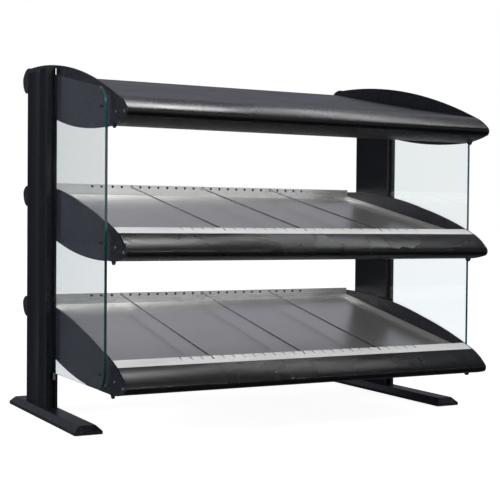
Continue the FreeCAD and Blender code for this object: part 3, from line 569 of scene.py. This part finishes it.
def lathe(bm, centre, profile, steps):
    """Turns an outline of (radius, distance) once round an axis along Y."""
    ring = [bm.verts.new((centre.x + radius * MM, centre.y + along * MM, centre.z))
            for radius, along in profile]
    edges = [bm.edges.new(pair) for pair in zip(ring, ring[1:])]
    before = set(bm.verts) - set(ring)
    bmesh.ops.spin(bm, geom=ring + edges, cent=centre, axis=(0, 1, 0), angle=2 * math.pi, steps=steps,
                   use_merge=True)
    bmesh.ops.remove_doubles(bm, verts=bm.verts, dist=MERGE_DISTANCE)
    return [v for v in bm.verts if v not in before]


def bar(bm, centre, size, edge):
    """A small block with bevelled edges."""
    made = bmesh.ops.create_cube(bm, size=1.0)["verts"]
    bmesh.ops.scale(bm, vec=size, verts=made)
    bmesh.ops.translate(bm, vec=centre, verts=made)
    edges = list({side for vertex in made for side in vertex.link_edges})
    bmesh.ops.bevel(bm, geom=edges, offset=edge, segments=2, profile=0.5, affect="EDGES", material=-1)


KNOB_PROFILE = ((3.2, 0.0), (14.9, 0.0), (14.9, 1.4), (14.2, 2.3), (11.9, 3.0), (11.5, 4.2), (11.1, 12.4),
                (10.6, 13.2), (9.6, 13.5), (0.0, 13.5))
KNOB_STEPS = 72
GRIP_FROM, GRIP_TO = 3.6 * MM, 13.3 * MM
GRIP_FLUTES = 18
FLUTE_DEPTH = 0.45 * MM
POINTER_SIZE = (1.4 * MM, 0.9 * MM, 8.0 * MM)
POINTER_SUNK = 0.5 * MM
POINTER_RISE = 5.0 * MM
TICK_SIZE = (0.9 * MM, 0.4 * MM, 3.0 * MM)
TICK_ANGLES = range(-150, 151, 30)
TICK_RING = 18.5 * MM


def make_knob(level):
    """A turned knob with a skirt, a fluted grip and a pointer line."""
    node = f"{level}_knob"
    low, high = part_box(node)
    centre = Vector(((low.x + high.x) / 2, low.y, (low.z + high.z) / 2))
    bm = bmesh.new()
    lathe(bm, centre, KNOB_PROFILE, KNOB_STEPS)
    for vertex in bm.verts:
        along = vertex.co.y - centre.y
        away = Vector((vertex.co.x - centre.x, 0, vertex.co.z - centre.z))
        if GRIP_FROM < along < GRIP_TO and away.length > TICK_RING / 2:
            wave = math.cos(GRIP_FLUTES * math.atan2(away.z, away.x))
            vertex.co -= away.normalized() * (FLUTE_DEPTH * (1 - wave))
    body = len(bm.faces)
    bar(bm, (centre.x, high.y - POINTER_SUNK, centre.z + POINTER_RISE), POINTER_SIZE, 0.2 * MM)
    bm.faces.ensure_lookup_table()
    for face in bm.faces[body:]:
        face.material_index = 1
    finish_piece(bm, f"{level}_dial_knob", ("knob_plastic", "marking"), (node,), smooth=32)


def make_ticks(level):
    """Plain raised tick marks round a knob."""
    low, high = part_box(f"{level}_knob")
    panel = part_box(f"{level}_rear_panel")[1]
    centre = Vector(((low.x + high.x) / 2, panel.y, (low.z + high.z) / 2))
    bm = bmesh.new()
    for angle in TICK_ANGLES:
        before = set(bm.verts)
        bar(bm, centre + Vector((0, 0, TICK_RING)), TICK_SIZE, 0.1 * MM)
        bmesh.ops.rotate(bm, cent=centre, matrix=Matrix.Rotation(math.radians(angle), 3, "Y"),
                         verts=[v for v in bm.verts if v not in before])
    finish_piece(bm, f"{level}_dial_ticks", "marking", (), body=ROOT)


SMALL_EDGES = {
    "switch_housings": 0.5, "indicator_lights": 1.2, "power_inlet": 1.2, "foot_pads": 0.5,
    "glass_bumpers": 0.4, "glass_top_pins": 0.5, "glass_clips": 0.8, "channel_strips": 0.4,
    "end_plate_screws": 0.6, "column_screws": 0.6, "foot_bolts": 0.6, "lamp_sockets": 1.0,
    "element_brackets": 0.3, "display_lamps": 2.5, "upper_bay_element": 1.0, "lower_bay_element": 1.0,
    "thermostats": 0.8,
}
for level in LEVELS:
    make_knob(level)
    make_ticks(level)
    softened(f"{level}_rocker", 0.5 * MM, steps=3)
    softened(f"{level}_spindle", 0.3 * MM)
for node, edge in SMALL_EDGES.items():
    softened(node, edge * MM, steps=3)
for level in SHELVES:
    for name in ROD_PLACES:
        softened(f"{level}_{name}_divider", 0.5 * MM, steps=3)


# ---------------------------------------------------------------- stage, light and camera

def flat_plane(name, width, depth, height):
    bm = bmesh.new()
    bmesh.ops.create_grid(bm, x_segments=1, y_segments=1, size=0.5)
    bmesh.ops.scale(bm, vec=(width, depth, 1), verts=bm.verts)
    bmesh.ops.translate(bm, vec=(0, 0, height), verts=bm.verts)
    mesh = bpy.data.meshes.new(name)
    bm.to_mesh(mesh)
    bm.free()
    item = bpy.data.objects.new(name, mesh)
    bpy.context.scene.collection.objects.link(item)
    return item


def seen_directly(tree):
    """1 for a ray that has met nothing but clear glass, 0 once it has been mirrored or scattered."""
    path = tree.nodes.new("ShaderNodeLightPath").outputs
    straight = arithmetic(tree, "MAXIMUM", path["Is Camera Ray"], path["Is Transmission Ray"])
    return arithmetic(tree, "MULTIPLY", straight, arithmetic(tree, "LESS_THAN", path["Glossy Depth"], 0.5))


def make_floor():
    floor = flat_plane("floor", 40, 40, 0)
    material, tree, shader = blank_material("pale_floor", Roughness=0.9, Emission_Strength=1.0)
    place = tree.nodes.new("ShaderNodeTexCoord").outputs["Object"]
    spot = new_node(tree, "ShaderNodeSeparateXYZ", Vector=place).outputs
    # The floor glows: evenly pale to the eye, but to mirrored and scattered rays it is painted shade, dark
    # near the case and lighter far behind it to the right.
    far_from_painted_shade = arithmetic(tree, "MULTIPLY", remap(tree, spot["Y"], 0.7, 1.8, 0.0, 1.0),
                        remap(tree, spot["X"], -0.9, 0.1, 0.0, 1.0))
    mirrored = blend_colours(tree, far_from_painted_shade, rgb(0.035, 0.036, 0.04), rgb(0.42, 0.43, 0.45))
    tone = blend_colours(tree, noise(tree, place, 3.0), rgb(0.90, 0.90, 0.90), rgb(0.93, 0.93, 0.93))
    seen = seen_directly(tree)
    link(tree, blend_colours(tree, seen, rgb(0.04, 0.04, 0.04), tone), shader.inputs["Base Color"])
    link(tree, blend_colours(tree, seen, mirrored, tone), shader.inputs["Emission Color"])
    floor.data.materials.append(material)


make_floor()


def make_surroundings():
    """White to the eye; what the case mirrors is dark at the back, brighter in front and overhead."""
    world = bpy.data.worlds.new("studio")
    bpy.context.scene.world = world
    world.use_nodes = True
    tree = world.node_tree
    tree.nodes.clear()
    direction = new_node(tree, "ShaderNodeSeparateXYZ",
                         Vector=tree.nodes.new("ShaderNodeTexCoord").outputs["Generated"]).outputs
    rear = new_node(tree, "ShaderNodeValToRGB", Fac=direction["Z"])
    ramp = rear.color_ramp
    ramp.elements[0].position, ramp.elements[0].color = 0.05, rgb(0.06, 0.062, 0.072)
    ramp.elements[1].position, ramp.elements[1].color = 1.0, rgb(0.14, 0.14, 0.15)
    for height, shade in ((0.30, 0.26), (0.50, 0.46), (0.62, 0.18)):
        ramp.elements.new(height).color = rgb(shade * 0.95, shade * 0.97, shade * 1.12)
    rear = rear.outputs["Color"]
    rear = blend_colours(tree, remap(tree, direction["X"], -0.7, 0.2, 1.0, 0.0), rear,
                         rgb(0.06, 0.063, 0.07))
    front = blend_colours(tree, remap(tree, direction["Z"], 0.1, 0.5, 0.0, 1.0),
                          rgb(0.62, 0.62, 0.63), rgb(0.20, 0.20, 0.21))
    graded = blend_colours(tree, remap(tree, direction["Y"], -0.7, 0.1, 1.0, 0.0), rear, front)
    graded = blend_colours(tree, remap(tree, direction["Z"], -0.06, 0.0, 1.0, 0.0), graded,
                           rgb(0.03, 0.03, 0.034))
    colour = blend_colours(tree, seen_directly(tree), graded, rgb(1, 1, 1))
    background = new_node(tree, "ShaderNodeBackground", Strength=1.0, Color=colour)
    output = tree.nodes.new("ShaderNodeOutputWorld")
    link(tree, background.outputs[0], output.inputs["Surface"])


make_surroundings()


def softbox(name, where, aim, width, depth, power, lights_only=(), shaded=True):
    """A soft light, for all pieces or some; one that is not shaded shines through what is in its way."""
    lamp = bpy.data.lights.new(name, "AREA")
    lamp.shape = "RECTANGLE"
    lamp.size, lamp.size_y = width, depth
    lamp.energy = power
    item = bpy.data.objects.new(name, lamp)
    item.location = where
    item.rotation_euler = (Vector(aim) - Vector(where)).to_track_quat("-Z", "Y").to_euler()
    bpy.context.scene.collection.objects.link(item)
    item.visible_camera = False
    lamp.use_shadow = shaded
    lamp.cycles.use_multiple_importance_sampling = shaded
    if lights_only:
        lit = bpy.data.collections.new(f"lit_by_{name}")
        for piece in lights_only:
            lit.objects.link(bpy.data.objects[piece])
        item.light_linking.receiver_collection = lit
    return item


SHELF_RAILS = ["lower_front_rail", "upper_front_rail"]
TRAYS = ["lower_heated_tray", "upper_heated_tray"]
RAIL_AIM = (0.0, -0.34, 0.55)
RAIL_END_AIM = (0.3, -0.34, 0.55)
softbox("hood_light", (0.0, 0.22, 2.4), RAIL_AIM, 1.3, 0.26, 26, lights_only=["hood_front_rail"])
softbox("hood_light_end", (1.35, 0.22, 2.4), RAIL_END_AIM, 1.4, 0.26, 8, lights_only=["hood_front_rail"])
softbox("rail_light", (0.0, 0.22, 2.4), RAIL_AIM, 1.3, 0.26, 20, lights_only=SHELF_RAILS, shaded=False)
softbox("rail_light_end", (1.35, 0.22, 2.4), RAIL_END_AIM, 1.4, 0.26, 7, lights_only=SHELF_RAILS,
        shaded=False)
softbox("tray_light", (-0.2, -1.5, 1.7), (0.0, 0.0, 0.4), 1.6, 0.8, 40, lights_only=TRAYS, shaded=False)
softbox("overhead", (0.0, -1.6, 2.2), (0.0, 0.0, 0.4), 2.0, 1.0, 8)
softbox("left_fill", (-2.6, -0.3, 0.9), (0, 0.1, 0.45), 1.1, 1.5, 20)


CAMERA_PLACE = (-1.3259, -2.5307, 0.4623)
CAMERA_TURN = (27.798, -1.413, 0.510)
LENS_LENGTH = 83.43
SENSOR_WIDTH = 36


def make_camera():
    yaw, pitch, roll = (math.radians(angle) for angle in CAMERA_TURN)
    ahead = Vector((math.sin(yaw) * math.cos(pitch), math.cos(yaw) * math.cos(pitch), math.sin(pitch)))
    right = Vector((math.cos(yaw), -math.sin(yaw), 0))
    up = right.cross(ahead)
    turned_right = right * math.cos(roll) + up * math.sin(roll)
    turned_up = up * math.cos(roll) - right * math.sin(roll)
    lens = bpy.data.cameras.new("camera")
    lens.sensor_width = SENSOR_WIDTH
    lens.lens = LENS_LENGTH
    lens.clip_start, lens.clip_end = 0.1, 100
    camera = bpy.data.objects.new("camera", lens)
    turned = Matrix((turned_right, turned_up, -ahead)).transposed().to_4x4()
    camera.matrix_world = Matrix.Translation(CAMERA_PLACE) @ turned
    bpy.context.scene.collection.objects.link(camera)
    bpy.context.scene.camera = camera


make_camera()
bpy.context.scene.view_settings.view_transform = "Standard"
